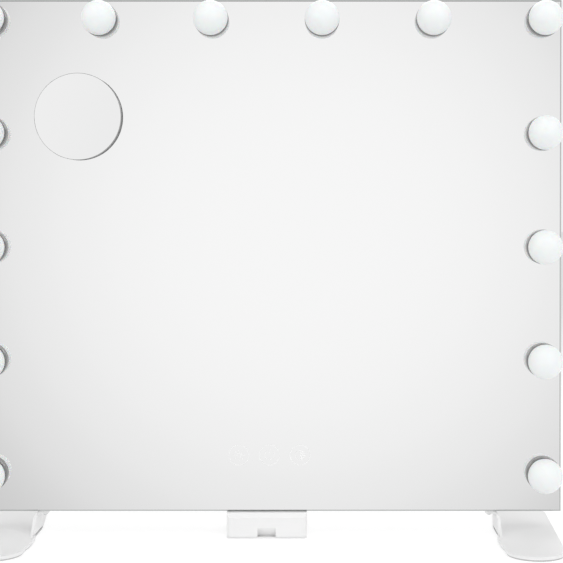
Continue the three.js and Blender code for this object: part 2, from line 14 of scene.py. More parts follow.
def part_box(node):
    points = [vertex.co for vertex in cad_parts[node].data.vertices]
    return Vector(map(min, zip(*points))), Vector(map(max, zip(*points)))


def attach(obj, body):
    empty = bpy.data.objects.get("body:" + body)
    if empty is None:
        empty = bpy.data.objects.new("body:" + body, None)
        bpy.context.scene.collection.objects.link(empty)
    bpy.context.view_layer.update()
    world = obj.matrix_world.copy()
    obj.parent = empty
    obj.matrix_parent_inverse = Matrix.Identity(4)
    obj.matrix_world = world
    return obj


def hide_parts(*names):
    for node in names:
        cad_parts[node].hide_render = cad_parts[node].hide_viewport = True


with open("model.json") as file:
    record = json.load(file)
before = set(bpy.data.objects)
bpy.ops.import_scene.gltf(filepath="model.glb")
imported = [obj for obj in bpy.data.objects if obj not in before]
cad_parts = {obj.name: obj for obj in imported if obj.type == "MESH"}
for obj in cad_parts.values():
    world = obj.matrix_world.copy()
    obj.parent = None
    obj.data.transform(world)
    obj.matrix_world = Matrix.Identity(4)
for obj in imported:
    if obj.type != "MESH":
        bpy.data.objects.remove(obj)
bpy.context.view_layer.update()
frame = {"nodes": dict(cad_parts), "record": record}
NODES = frame["nodes"]
MM = 0.001
STAND = "stand"
MAGNIFIER = "magnifier"

# ---------------------------------------------------------------- mesh tools


def finish_mesh(name, bm, smooth_angle=35):
    """Turns a bmesh into a linked object, smooth except across edges sharper than the angle."""
    bmesh.ops.remove_doubles(bm, verts=bm.verts, dist=0.002 * MM)
    bmesh.ops.recalc_face_normals(bm, faces=bm.faces)
    mesh = bpy.data.meshes.new(name)
    bm.to_mesh(mesh)
    bm.free()
    piece = bpy.data.objects.new(name, mesh)
    bpy.context.scene.collection.objects.link(piece)
    if smooth_angle:
        mesh.shade_smooth()
        mesh.set_sharp_from_angle(angle=math.radians(smooth_angle))
    return piece


def lathe(name, profile, centre, segments=96):
    """Turns a profile of (radius, y) points about the line through centre that runs along Y."""
    bm = bmesh.new()
    rings = []
    for radius, y in profile:
        if radius < 1e-7:
            rings.append([bm.verts.new((centre[0], y, centre[1]))])
            continue
        ring = []
        for step in range(segments):
            angle = 2 * math.pi * step / segments
            x = centre[0] + radius * math.cos(angle)
            ring.append(bm.verts.new((x, y, centre[1] + radius * math.sin(angle))))
        rings.append(ring)
    for one, two in zip(rings, rings[1:]):
        for step in range(segments):
            after = (step + 1) % segments
            near = [one[step % len(one)], one[after % len(one)]]
            corners = near + [two[after % len(two)], two[step % len(two)]]
            face = list(dict.fromkeys(corners))
            if len(face) > 2:
                bm.faces.new(face)
    return finish_mesh(name, bm)


def eased(points, radii, steps=5):
    """A polyline whose corners are rounded: radii gives one length for each point, 0 for a sharp one."""
    out = []
    for index, (point, radius) in enumerate(zip(points, radii)):
        if radius == 0 or index in (0, len(points) - 1):
            out.append(point)
            continue
        here = Vector(point)
        before = (Vector(points[index - 1]) - here).normalized() * radius
        after = (Vector(points[index + 1]) - here).normalized() * radius
        for step in range(steps + 1):
            t = step / steps
            spot = here + before * (1 - t) ** 2 + after * t**2
            out.append(tuple(spot))
    return out


def arc(centre, radius, start, end, steps):
    """Points of an arc from start to end, in degrees."""
    points = []
    for step in range(steps + 1):
        angle = math.radians(start + (end - start) * step / steps)
        points.append((centre[0] + radius * math.cos(angle), centre[1] + radius * math.sin(angle)))
    return points


def circle(centre, radius, steps=64):
    return arc(centre, radius, 0, 360, steps)[:-1]


def rounded_rectangle(low, high, radius, steps=8):
    """Outline of a rectangle with round corners, from its low and high corners."""
    (x0, y0), (x1, y1) = low, high
    return (
        arc((x1 - radius, y0 + radius), radius, -90, 0, steps)
        + arc((x1 - radius, y1 - radius), radius, 0, 90, steps)
        + arc((x0 + radius, y1 - radius), radius, 90, 180, steps)
        + arc((x0 + radius, y0 + radius), radius, 180, 270, steps)
    )


# Each stance is how a plate's flat outline is turned, and the axis along which it has its thickness.
UPRIGHT = (Matrix(((1, 0, 0, 0), (0, 0, -1, 0), (0, 1, 0, 0), (0, 0, 0, 1))), Vector((0, 1, 0)))
LYING = (Matrix.Identity(4), Vector((0, 0, 1)))
ACROSS = (Matrix(((0, 0, 1, 0), (1, 0, 0, 0), (0, 1, 0, 0), (0, 0, 0, 1))), Vector((1, 0, 0)))


def plate(name, loops, low, high, stance=UPRIGHT, smooth_angle=35):
    """A flat plate with holes, between low and high. Upright: loops are in X and Z, with thickness along Y.
    Lying: loops are in X and Y, with thickness along Z. Across: loops are in Y and Z, along X."""
    curve = bpy.data.curves.new(name, "CURVE")
    curve.dimensions = "2D"
    curve.fill_mode = "BOTH"
    curve.extrude = (high - low) / 2
    for loop in loops:
        spline = curve.splines.new("POLY")
        spline.points.add(len(loop) - 1)
        for point, (u, v) in zip(spline.points, loop):
            point.co = (u, v, 0, 1)
        spline.use_cyclic_u = True
    holder = bpy.data.objects.new(name, curve)
    bpy.context.scene.collection.objects.link(holder)
    bpy.context.view_layer.update()
    mesh = bpy.data.meshes.new_from_object(holder.evaluated_get(bpy.context.evaluated_depsgraph_get()))
    bm = bmesh.new()
    bm.from_mesh(mesh)
    turn, axis = stance
    bm.transform(Matrix.Translation(axis * (low + high) / 2) @ turn)
    bpy.data.objects.remove(holder)
    bpy.data.curves.remove(curve)
    bpy.data.meshes.remove(mesh)
    return finish_mesh(name, bm, smooth_angle)


def block(name, low, high):
    """A box from its low and high corners."""
    bm = bmesh.new()
    bmesh.ops.create_cube(bm, size=1)
    low, high = Vector(low), Vector(high)
    bm.transform(Matrix.Translation((low + high) / 2) @ Matrix.Diagonal((*(high - low), 1)))
    return finish_mesh(name, bm, None)


def bake(piece):
    """Applies the modifiers of a piece that is still being built."""
    bpy.context.view_layer.update()
    evaluated = piece.evaluated_get(bpy.context.evaluated_depsgraph_get())
    mesh = bpy.data.meshes.new_from_object(evaluated)
    piece.modifiers.clear()
    old = piece.data
    piece.data = mesh
    bpy.data.meshes.remove(old)
    return piece


def turned_to(piece, axis, place):
    """Turns a piece made about the Y axis so that its back end points along the axis, then moves it."""
    turn = Vector((0, 1, 0)).rotation_difference(Vector(axis)).to_matrix().to_4x4()
    piece.data.transform(Matrix.Translation(place) @ turn)
    return piece


def combine(piece, others, operation):
    """Joins others to the piece, or cuts them out of it, and takes them away."""
    for other in others:
        modifier = piece.modifiers.new("combine", "BOOLEAN")
        modifier.object = other
        modifier.operation = operation
        modifier.solver = "EXACT"
    bake(piece)
    for other in others:
        bpy.data.objects.remove(other)
    piece.data.shade_smooth()
    piece.data.set_sharp_from_angle(angle=math.radians(35))
    return piece


def soften(piece, width, segments=3, angle=35):
    """Rounds the sharp edges of a piece by a small width."""
    bevel = piece.modifiers.new("softened_edges", "BEVEL")
    bevel.width = width
    bevel.segments = segments
    bevel.limit_method = "ANGLE"
    bevel.angle_limit = math.radians(angle)
    bevel.miter_outer = "MITER_ARC"
    normals = piece.modifiers.new("even_shading", "WEIGHTED_NORMAL")
    normals.keep_sharp = True
    return piece


def settle(piece, body, material, slot, *replaced):
    """Gives a finished piece its material, its body and the CAD nodes that it stands for."""
    if piece.data.materials:
        piece.data.materials[0] = material
    else:
        piece.data.materials.append(material)
    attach(piece, body)
    if replaced:
        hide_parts(*replaced)
    return piece


# ---------------------------------------------------------------- materials


def node_material(name, colour, roughness, metallic=0.0, **inputs):
    """A Principled material with its even values set on the shader's own sockets."""
    material = bpy.data.materials.new(name)
    material.use_nodes = True
    shader = material.node_tree.nodes["Principled BSDF"]
    shader.inputs["Base Color"].default_value = (*colour, 1)
    shader.inputs["Roughness"].default_value = roughness
    shader.inputs["Metallic"].default_value = metallic
    for socket, value in inputs.items():
        shader.inputs[socket.replace("_", " ")].default_value = value
    return material


def add_noise(material, scale, detail=3.0, stretch=(1, 1, 1)):
    """Noise in the piece's own coordinates, stretched along an axis for drawn or brushed metal."""
    nodes, links = material.node_tree.nodes, material.node_tree.links
    place = nodes.new("ShaderNodeTexCoord")
    mapping = nodes.new("ShaderNodeMapping")
    mapping.inputs["Scale"].default_value = stretch
    noise = nodes.new("ShaderNodeTexNoise")
    noise.inputs["Scale"].default_value = scale
    noise.inputs["Detail"].default_value = detail
    links.new(place.outputs["Object"], mapping.inputs["Vector"])
    links.new(mapping.outputs["Vector"], noise.inputs["Vector"])
    return noise


def vary_roughness(material, noise, low, high):
    nodes, links = material.node_tree.nodes, material.node_tree.links
    spread = nodes.new("ShaderNodeMapRange")
    spread.inputs["From Min"].default_value = 0.3
    spread.inputs["From Max"].default_value = 0.7
    spread.inputs["To Min"].default_value = low
    spread.inputs["To Max"].default_value = high
    links.new(noise.outputs["Fac"], spread.inputs["Value"])
    links.new(spread.outputs["Result"], nodes["Principled BSDF"].inputs["Roughness"])


def vary_colour(material, noise, dark, light):
    nodes, links = material.node_tree.nodes, material.node_tree.links
    ramp = nodes.new("ShaderNodeValToRGB")
    ramp.color_ramp.elements[0].position = 0.3
    ramp.color_ramp.elements[0].color = (*dark, 1)
    ramp.color_ramp.elements[1].position = 0.7
    ramp.color_ramp.elements[1].color = (*light, 1)
    links.new(noise.outputs["Fac"], ramp.inputs["Fac"])
    links.new(ramp.outputs["Color"], nodes["Principled BSDF"].inputs["Base Color"])


def add_bump(material, noise, strength, distance):
    nodes, links = material.node_tree.nodes, material.node_tree.links
    bump = nodes.new("ShaderNodeBump")
    bump.inputs["Strength"].default_value = strength
    bump.inputs["Distance"].default_value = distance
    links.new(noise.outputs["Fac"], bump.inputs["Height"])
    links.new(bump.outputs["Normal"], nodes["Principled BSDF"].inputs["Normal"])


def grey(value):
    return (value, value, value)


def silvered_glass():
    material = node_material("silvered_glass", grey(0.93), 0.012, 1.0)
    vary_roughness(material, add_noise(material, 14, 4), 0.008, 0.02)
    return material


def polished_edge():
    material = node_material("polished_glass_edge", (0.55, 0.565, 0.56), 0.08, 0.9)
    vary_roughness(material, add_noise(material, 60, 3), 0.05, 0.12)
    return material


def frosted_globe():
    glow = {"Subsurface_Weight": 0.15, "Subsurface_Scale": 0.004}
    material = node_material("frosted_globe", grey(0.9), 0.45, **glow)
    noise = add_noise(material, 1400, 2)
    add_bump(material, noise, 0.12, 0.00005)
    vary_roughness(material, noise, 0.4, 0.5)
    return material


def chrome():
    material = node_material("dark_chrome", grey(0.3), 0.12, 1.0)
    noise = add_noise(material, 220, 3)
    vary_roughness(material, noise, 0.08, 0.16)
    return material


def brushed_aluminium():
    material = node_material("brushed_aluminium", grey(0.8), 0.35, 1.0)
    noise = add_noise(material, 900, 4, (0.02, 1, 0.02))
    vary_roughness(material, noise, 0.28, 0.42)
    add_bump(material, noise, 0.08, 0.00003)
    return material


def plated_steel():
    material = node_material("plated_steel", grey(0.62), 0.35, 1.0)
    noise = add_noise(material, 300, 4)
    vary_roughness(material, noise, 0.25, 0.42)
    vary_colour(material, noise, (0.56, 0.57, 0.58), (0.68, 0.68, 0.69))
    return material


def white_paint():
    material = node_material("white_paint", grey(0.84), 0.42, Coat_Weight=0.1, Coat_Roughness=0.2)
    noise = add_noise(material, 520, 2)
    add_bump(material, noise, 0.05, 0.0001)
    vary_colour(material, add_noise(material, 9, 3), grey(0.83), grey(0.855))
    return material


def back_sheet_paint():
    material = node_material("back_sheet_paint", grey(0.8), 0.5)
    noise = add_noise(material, 900, 3)
    add_bump(material, noise, 0.15, 0.0001)
    vary_colour(material, add_noise(material, 6, 3), grey(0.78), grey(0.82))
    return material


def white_plastic():
    material = node_material("white_plastic", grey(0.85), 0.38)
    noise = add_noise(material, 1600, 2)
    add_bump(material, noise, 0.1, 0.00005)
    vary_colour(material, add_noise(material, 20, 3), grey(0.84), grey(0.865))
    return material


def black_plastic():
    material = node_material("black_plastic", grey(0.02), 0.45)
    noise = add_noise(material, 1200, 2)
    add_bump(material, noise, 0.2, 0.00005)
    vary_roughness(material, noise, 0.4, 0.55)
    return material


def pale_rubber():
    material = node_material("pale_rubber", grey(0.55), 0.85)
    noise = add_noise(material, 1500, 4)
    add_bump(material, noise, 0.4, 0.0001)
    vary_colour(material, noise, grey(0.5), grey(0.6))
    return material


def circuit_board():
    material = node_material("circuit_board", (0.78, 0.8, 0.76), 0.45)
    noise = add_noise(material, 400, 2)
    vary_colour(material, noise, (0.74, 0.77, 0.72), (0.82, 0.84, 0.8))
    return material


def etched_mark():
    material = node_material("etched_mark", grey(0.86), 0.5)
    add_bump(material, add_noise(material, 4000, 2), 0.2, 0.00002)
    return material


def studio_floor():
    """Painted light: the floor glows white near the object and a little greyer far away, a painted pool of
    light like a lit sweep of paper.
    """
    material = node_material("studio_floor", grey(0.42), 0.7)
    nodes, links = material.node_tree.nodes, material.node_tree.links
    shader = nodes["Principled BSDF"]
    # Painted light: this emission makes the floor glow, strongest near the object and fading with distance,
    # a painted pool of light.
    shader.inputs["Emission Color"].default_value = (1, 1, 1, 1)
    place = nodes.new("ShaderNodeTexCoord")
    distance = nodes.new("ShaderNodeVectorMath")
    distance.operation = "LENGTH"
    fade = nodes.new("ShaderNodeMapRange")
    fade.interpolation_type = "SMOOTHSTEP"
    fade.inputs["From Min"].default_value = 0.45
    fade.inputs["From Max"].default_value = 2.2
    fade.inputs["To Min"].default_value = 0.61
    fade.inputs["To Max"].default_value = 0.4
    links.new(place.outputs["Object"], distance.inputs[0])
    links.new(distance.outputs["Value"], fade.inputs["Value"])
    links.new(fade.outputs["Result"], shader.inputs["Emission Strength"])
    return material


MATERIALS = {
    "silvered_glass": silvered_glass(),
    "frame_aluminium": brushed_aluminium(),
    "zinc_steel": plated_steel(),
    "white_paint": white_paint(),
    "chrome": chrome(),
    "frosted_globe": frosted_globe(),
    "circuit_board": circuit_board(),
    "black_plastic": black_plastic(),
    "white_plastic": white_plastic(),
    "rubber": pale_rubber(),
}
EDGE = polished_edge()
MARK = etched_mark()
BACK_SHEET = back_sheet_paint()

# ---------------------------------------------------------------- sizes taken from the frame

GLASS_LOW, GLASS_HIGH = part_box("mirror_glass")
GLASS_FRONT = GLASS_LOW.y
LAMPS = [name.removeprefix("lamp_globe_") for name in sorted(NODES) if name.startswith("lamp_globe_")]


def middle(node):
    low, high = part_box(node)
    return (low + high) / 2


# ---------------------------------------------------------------- mirror glass


def bordered_slab(name, border):
    """A closed slab of the glass's size whose front edges are cut at 45 degrees."""
    x, low, high = GLASS_HIGH.x, GLASS_LOW.z, GLASS_HIGH.z
    bm = bmesh.new()
    rings = []
    for inset, y in ((border, GLASS_FRONT), (0, GLASS_FRONT + border), (0, GLASS_HIGH.y)):
        corners = [(-1, low + inset), (1, low + inset), (1, high - inset), (-1, high - inset)]
        rings.append([bm.verts.new((side * (x - inset), y, z)) for side, z in corners])
    bm.faces.new(rings[0])
    bm.faces.new(rings[-1])
    for one, two in zip(rings, rings[1:]):
        for step in range(4):
            after = (step + 1) % 4
            bm.faces.new((one[step], one[after], two[after], two[step]))
    return finish_mesh(name, bm, None)


def mirror_glass():
    """The glass as one solid, with a narrow polished border and a bore for each lamp's sleeve."""
    sheet = bordered_slab("mirror_glass_sheet", 1.6 * MM)
    bores = []
    for lamp in LAMPS:
        spot = middle(f"lamp_collar_{lamp}")
        bores.append(circle((spot.x, spot.z), 10.3 * MM, 48))
    drill = plate("drill", bores, GLASS_FRONT - 1 * MM, GLASS_HIGH.y + 1 * MM)
    combine(sheet, [drill], "DIFFERENCE")
    sheet.data.shade_flat()
    sheet.data.materials.clear()
    sheet.data.materials.append(MATERIALS["silvered_glass"])
    sheet.data.materials.append(EDGE)
    for polygon in sheet.data.polygons:
        polygon.material_index = 0 if polygon.normal.y < -0.99 else 1
    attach(sheet, STAND)
    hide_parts("mirror_glass")


# ---------------------------------------------------------------- lamps


def collar_piece(lamp):
    """Chrome ring on the glass with a stepped front, and its sleeve through the glass."""
    node = f"lamp_collar_{lamp}"
    low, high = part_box(node)
    spot = middle(node)
    radius = (high.z - low.z) / 2
    foot = GLASS_FRONT - 0.1 * MM
    front = low.y
    seat = front + 1.6 * MM
    profile = eased(
        [
            (9.9 * MM, foot),
            (radius, foot),
            (radius, front),
            (15.1 * MM, front),
            (14.7 * MM, seat),
            (8.6 * MM, seat),
            (8.6 * MM, high.y),
            (9.9 * MM, high.y),
            (9.9 * MM, foot),
        ],
        [0, 0.25 * MM, 1.3 * MM, 0.3 * MM, 0, 0.3 * MM, 0, 0, 0],
    )
    return lathe(f"collar_ring_{lamp}", profile, (spot.x, spot.z))


def globe_piece(lamp):
    """Hollow frosted shell: a ball that runs down into a short neck inside the collar."""
    node = f"lamp_globe_{lamp}"
    low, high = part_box(node)
    spot = middle(node)
    radius = (high.z - low.z) / 2
    centre = low.y + radius
    wall = 1.2 * MM
    neck = 7.9 * MM
    neck_start = GLASS_FRONT - 3.6 * MM
    turn = math.degrees(math.asin((centre - neck_start - 1.2 * MM) / radius))
    outer = [(r, centre - d) for r, d in arc((0, 0), radius, 90, turn + 0.0, 40)]
    inner = [(r, centre - d) for r, d in arc((0, 0), radius - wall, turn + 2, 90, 24)]
    outer[0] = (0, outer[0][1])
    inner[-1] = (0, inner[-1][1])
    bend = eased(
        [outer[-1], (neck + 3 * MM, neck_start), (neck, neck_start), (neck, high.y), (neck - wall, high.y)],
        [0, 2 * MM, 1 * MM, 0.3 * MM, 0],
    )
    profile = outer + bend[1:] + [(neck - wall, neck_start - wall)] + inner
    return lathe(f"globe_shell_{lamp}", profile, (spot.x, spot.z))


def lamps():
    for lamp in LAMPS:
        settle(collar_piece(lamp), STAND, MATERIALS["chrome"], "chrome", f"lamp_collar_{lamp}")
        settle(globe_piece(lamp), STAND, MATERIALS["frosted_globe"], "frosted_globe", f"lamp_globe_{lamp}")


# ---------------------------------------------------------------- touch marks


def stroke(points, width):
    """Outline of a line of even width, for a mark drawn on the glass."""
    left, right = [], []
    for index, point in enumerate(points):
        here = Vector(point)
        before = Vector(points[max(index - 1, 0)])
        after = Vector(points[min(index + 1, len(points) - 1)])
        along = (after - before).normalized()
        across = Vector((-along.y, along.x)) * width / 2
        left.append(tuple(here + across))
        right.append(tuple(here - across))
    return left + right[::-1]


def mark_loops(kind, spot):
    """Loops of one key's mark: a ring round a sun, a power sign or a half disc."""
    x, z = spot
    line = 0.7 * MM
    loops = [circle(spot, 10.5 * MM), circle(spot, 9.8 * MM)]
    if kind == "sun":
        loops += [circle(spot, 2.6 * MM), circle(spot, 1.8 * MM)]
        for step in range(8):
            angle = step * math.pi / 4
            ray = [
                (x + reach * MM * math.cos(angle), z + reach * MM * math.sin(angle)) for reach in (3.8, 5.6)
            ]
            loops.append(stroke(ray, line))
    if kind == "power":
        loops.append(stroke(arc(spot, 4.8 * MM, 125, 415, 40), line))
        loops.append(stroke([(x, z + 1.2 * MM), (x, z + 6 * MM)], line))
    if kind == "tone":
        loops.append(stroke(arc(spot, 4.8 * MM, 90, 270, 24), line))
        loops.append(arc(spot, 5.2 * MM, -90, 90, 24))
    return loops


def touch_marks():
    board = middle("touch_sensor_board")
    pitch = 31.3 * MM
    for step, kind in enumerate(("sun", "power", "tone")):
        spot = (board.x + (step - 1) * pitch, board.z)
        front, back = GLASS_FRONT - 0.06 * MM, GLASS_FRONT - 0.01 * MM
        mark = plate(f"touch_mark_{kind}", mark_loops(kind, spot), front, back)
        settle(mark, STAND, MARK, "frosted_globe")


# ---------------------------------------------------------------- feet


FOOT_SHEET = 3 * MM
PAD_INSET = 1 * MM
WALL_REAR = 32 * MM
WALL_FILLET = 28 * MM
FLARE_REAR, FLARE_FRONT = -8 * MM, -62 * MM
FLARE_PULL = (5.5 * MM, -34 * MM)  # how far inward, and at what Y, the curve of the flare is pulled
FRONT_STEP = 1 * MM  # the plate's inner edge in front lies this far inward of the wall
FRONT_RADIUS = 28.7 * MM
FOOT_WIDTH = 64.2 * MM
FOOT_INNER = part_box("foot_right")[1].x - FOOT_WIDTH


def foot_outline(inset):
    """Outline of the right foot's floor plate: round in front, swollen a little inward under the wall's
    front fillet, and narrower behind the wall."""
    low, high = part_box("foot_right")
    inner = FOOT_INNER + inset
    inner_rear = FOOT_INNER + 8 * MM + inset
    outer = high.x - inset
    inner_front = FOOT_INNER - FRONT_STEP
    centre = (inner_front + FRONT_RADIUS, low.y + FRONT_RADIUS)
    rear = high.y - inset
    outer_corner, inner_corner = 14 * MM, 6 * MM
    start, end = (inner, FLARE_REAR), (inner_front + inset, FLARE_FRONT)
    pull = (inner - FLARE_PULL[0], FLARE_PULL[1])
    flare = []
    for step in range(13):
        t = step / 12
        a, b, c = (1 - t) ** 2, 2 * t * (1 - t), t**2
        flare.append(tuple(a * start[k] + b * pull[k] + c * end[k] for k in (0, 1)))
    return (
        arc(centre, FRONT_RADIUS - inset, 180, 360, 48)
        + arc((outer - outer_corner, rear - outer_corner), outer_corner, 0, 90, 16)
        + arc((inner_rear + inner_corner, rear - inner_corner), inner_corner, 90, 180, 8)
        + [(inner, WALL_REAR)]
        + flare
    )


def foot_wall_loop(inner, plate_low, top):
    """Cross-section of the wall with its bends: up from the plate, then inward under the rail."""
    sheet = FOOT_SHEET
    low_bend, top_bend = 4 * MM, 8 * MM
    outer = inner + sheet
    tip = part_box("foot_right")[0].x
    floor_line = plate_low + sheet
    return (
        [(tip, top - sheet)]
        + arc((outer - top_bend, top - top_bend), top_bend - sheet, 90, 0, 10)
        + arc((inner + low_bend, plate_low + low_bend), low_bend, 180, 270, 10)
        + [(inner + low_bend + 2 * MM, plate_low), (inner + low_bend + 2 * MM, floor_line)]
        + arc((inner + low_bend, plate_low + low_bend), low_bend - sheet, 270, 180, 10)
        + arc((outer - top_bend, top - top_bend), top_bend, 0, 90, 10)
        + [(tip, top)]
    )


def before_wall_loop(floor_line, top):
    """What is cut away in front of the wall, down to the fillet that runs forward into the plate."""
    start = GLASS_FRONT - WALL_FILLET
    end_angle = -math.degrees(math.asin((floor_line + WALL_FILLET - top - 1 * MM) / WALL_FILLET))
    fillet = arc((start, floor_line + WALL_FILLET), WALL_FILLET, -90, end_angle, 20)
    return [(start - 1 * MM, floor_line)] + fillet + [(start - 1 * MM, top + 1 * MM)]


def mirror_x(piece):
    piece.data.transform(Matrix.Scale(-1, 4, (1, 0, 0)))
    piece.data.flip_normals()
    return piece


def foot_piece(side):
    low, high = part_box("foot_right")
    floor_line = low.z + FOOT_SHEET
    wall_front = GLASS_FRONT - WALL_FILLET
    inner = FOOT_INNER
    tip = low.x
    base = plate(f"foot_sheet_{side}", [foot_outline(0)], low.z, floor_line, LYING)
    notch = block("notch", (inner - 1 * MM, FLARE_REAR, -0.01), (inner + 4 * MM, WALL_REAR, low.z + 6 * MM))
    combine(base, [notch], "DIFFERENCE")
    wall = plate("wall", [foot_wall_loop(inner, low.z, high.z)], wall_front, WALL_REAR)
    before = plate("before", [before_wall_loop(floor_line, high.z)], tip - 1 * MM, inner + 8 * MM, ACROSS)
    side_low, side_high = tip - 1 * MM, inner - 0.5 * MM
    tab_front, tab_rear = 1 * MM, 30 * MM
    clear_front = block("clear_front", (side_low, wall_front - 1 * MM, 0.02), (side_high, tab_front, 0.04))
    clear_rear = block("clear_rear", (side_low, tab_rear, 0.02), (side_high, WALL_REAR + 1 * MM, 0.04))
    combine(wall, [before, clear_front, clear_rear], "DIFFERENCE")
    combine(base, [wall], "UNION")
    if side == "left":
        mirror_x(base)
    return soften(base, 0.6 * MM)


def pad_piece(side):
    low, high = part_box("foot_pad_right")
    pad = plate(f"foot_rubber_{side}", [foot_outline(PAD_INSET)], low.z, high.z, LYING)
    return mirror_x(pad) if side == "left" else pad


def feet():
    for side in ("left", "right"):
        settle(foot_piece(side), STAND, MATERIALS["white_paint"], "white_paint", f"foot_{side}")
        settle(pad_piece(side), STAND, MATERIALS["rubber"], "rubber", f"foot_pad_{side}")


# ---------------------------------------------------------------- hub


def hub_notch_loop(front, bottom):
    """The notch low in the front: its roof starts flush with the face and slopes inward."""
    top, depth = 11 * MM, 6.5 * MM
    return [
        (front - 1 * MM, bottom - 1 * MM),
        (front - 1 * MM, top),
        (front, top),
        (front + depth, bottom + 1.3 * MM),
        (front + depth, bottom - 1 * MM),
    ]


def hub_housing():
    """White moulded housing with a chamfer along its top front edge and a tongue up the panel's back."""
    low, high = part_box("hub_housing")
    top = GLASS_LOW.z - 0.3 * MM
    wall, corner, chamfer, notch_half = 2 * MM, 5 * MM, 4.4 * MM, 9.2 * MM
    cover_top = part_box("hub_base_cover")[1].z
    shell = plate("hub_shell", [rounded_rectangle(low.xy, high.xy, corner)], low.z, top, LYING)
    inside = rounded_rectangle(
        (low.x + wall, low.y + wall), (high.x - wall, high.y - wall), corner - wall
    )
    hollow = plate("hollow", [inside], low.z - 1 * MM, top - chamfer - wall, LYING)
    combine(shell, [hollow], "DIFFERENCE")
    surround_reach = notch_half + 1.6 * MM
    surround = block(
        "surround", (-surround_reach, low.y + 1 * MM, low.z), (surround_reach, low.y + 8.1 * MM, 12.6 * MM)
    )
    tongue_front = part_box("back_panel")[1].y + 0.3 * MM
    tongue_back = tongue_front + 5 * MM
    tongue_loop = rounded_rectangle((-30 * MM, top - 10 * MM), (30 * MM, high.z), 8 * MM)
    screw = middle("hub_screw")
    holes = [circle((0, screw.z), 2.7 * MM, 24), circle((0, 45 * MM), 5 * MM, 32)]
    tongue = plate("tongue", [tongue_loop, *holes], tongue_front, tongue_back)
    combine(shell, [surround, tongue], "UNION")
    edge = [
        (low.y - 1 * MM, top - chamfer - 1 * MM),
        (low.y + chamfer + 1 * MM, top + 1 * MM),
        (low.y - 1 * MM, top + 1 * MM),
    ]
    cuts = [
        plate("chamfer", [edge], low.x - 1 * MM, high.x + 1 * MM, ACROSS),
        plate("notch", [hub_notch_loop(low.y, cover_top)], -notch_half, notch_half, ACROSS),
    ]
    socket_low, socket_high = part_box("dc_socket")
    room = Vector((0.3 * MM, 0, 0.3 * MM))
    cuts.append(block("socket_hole", socket_low - room, socket_high + room + Vector((0, 1 * MM, 0))))
    combine(shell, cuts, "DIFFERENCE")
    return soften(shell, 0.7 * MM)


def hub_cover():
    low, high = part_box("hub_base_cover")
    outline = rounded_rectangle(low.xy, high.xy, 5 * MM)
    return soften(plate("hub_cover", [outline], low.z, high.z, LYING), 0.4 * MM)


def dc_socket():
    """Barrel power inlet: a body with a round bore and a pin in its middle."""
    low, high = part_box("dc_socket")
    spot = middle("dc_socket")
    bore_end = high.y - 9.5 * MM
    face = rounded_rectangle((low.x, low.z), (high.x, high.z), 0.8 * MM)
    body = plate("socket_body", [face, circle((spot.x, spot.z), 3.2 * MM, 48)], bore_end, high.y)
    back = plate("back", [face], low.y, bore_end)
    contact = plate("contact", [circle((spot.x, spot.z), 1 * MM, 24)], bore_end - 1 * MM, high.y - 1 * MM)
    combine(body, [back, contact], "UNION")
    return soften(body, 0.25 * MM)


def cross_screw(name, node, axis):
    """A screw with a domed head and a cross recess. The axis points from its head to its tip."""
    low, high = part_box(node)
    axis = Vector(axis)
    along = abs((high - low).dot(axis))
    head_radius = (high.x - low.x) / 2
    head_height = 0.36 * head_radius + 1 * MM
    shank = 0.5 * head_radius
    head = [(0, 0), (0.7 * head_radius, 0.12 * head_height), (head_radius, 0.6 * head_height)]
    seat = [(head_radius, head_height), (shank, head_height)]
    tip = [(shank, along - 1 * MM), (0.6 * shank, along), (0, along)]
    radii = [0, 0.25 * head_radius, 0.2 * head_radius, 0, 0, 0.2 * MM, 0.2 * MM, 0]
    profile = eased(head + seat + tip, radii)
    screw = lathe(name, profile, (0, 0), 40)
    long, thin, deep = 0.55 * head_radius, 0.13 * head_radius, 0.5 * head_height
    slots = [
        block("slot", (-long, -1, -thin), (long, deep, thin)),
        block("slot", (-thin, -1, -long), (thin, deep, long)),
    ]
    combine(screw, slots, "DIFFERENCE")
    centre = (low + high) / 2
    return turned_to(screw, axis, centre - axis * along / 2)


def hub():
    settle(hub_housing(), STAND, MATERIALS["white_plastic"], "white_plastic", "hub_housing")
    settle(hub_cover(), STAND, MATERIALS["white_plastic"], "white_plastic", "hub_base_cover")
    settle(dc_socket(), STAND, MATERIALS["black_plastic"], "black_plastic", "dc_socket")
    screw = cross_screw("hub_fixing_screw", "hub_screw", (0, -1, 0))
    settle(screw, STAND, MATERIALS["zinc_steel"], "zinc_steel", "hub_screw")


def foot_screws():
    for side in ("left", "right"):
        for place in ("front", "rear"):
            node = f"foot_screw_{side}_{place}"
            screw = cross_screw(f"foot_fixing_screw_{side}_{place}", node, (0, 0, 1))
            settle(screw, STAND, MATERIALS["zinc_steel"], "zinc_steel", node)


# ---------------------------------------------------------------- magnifier


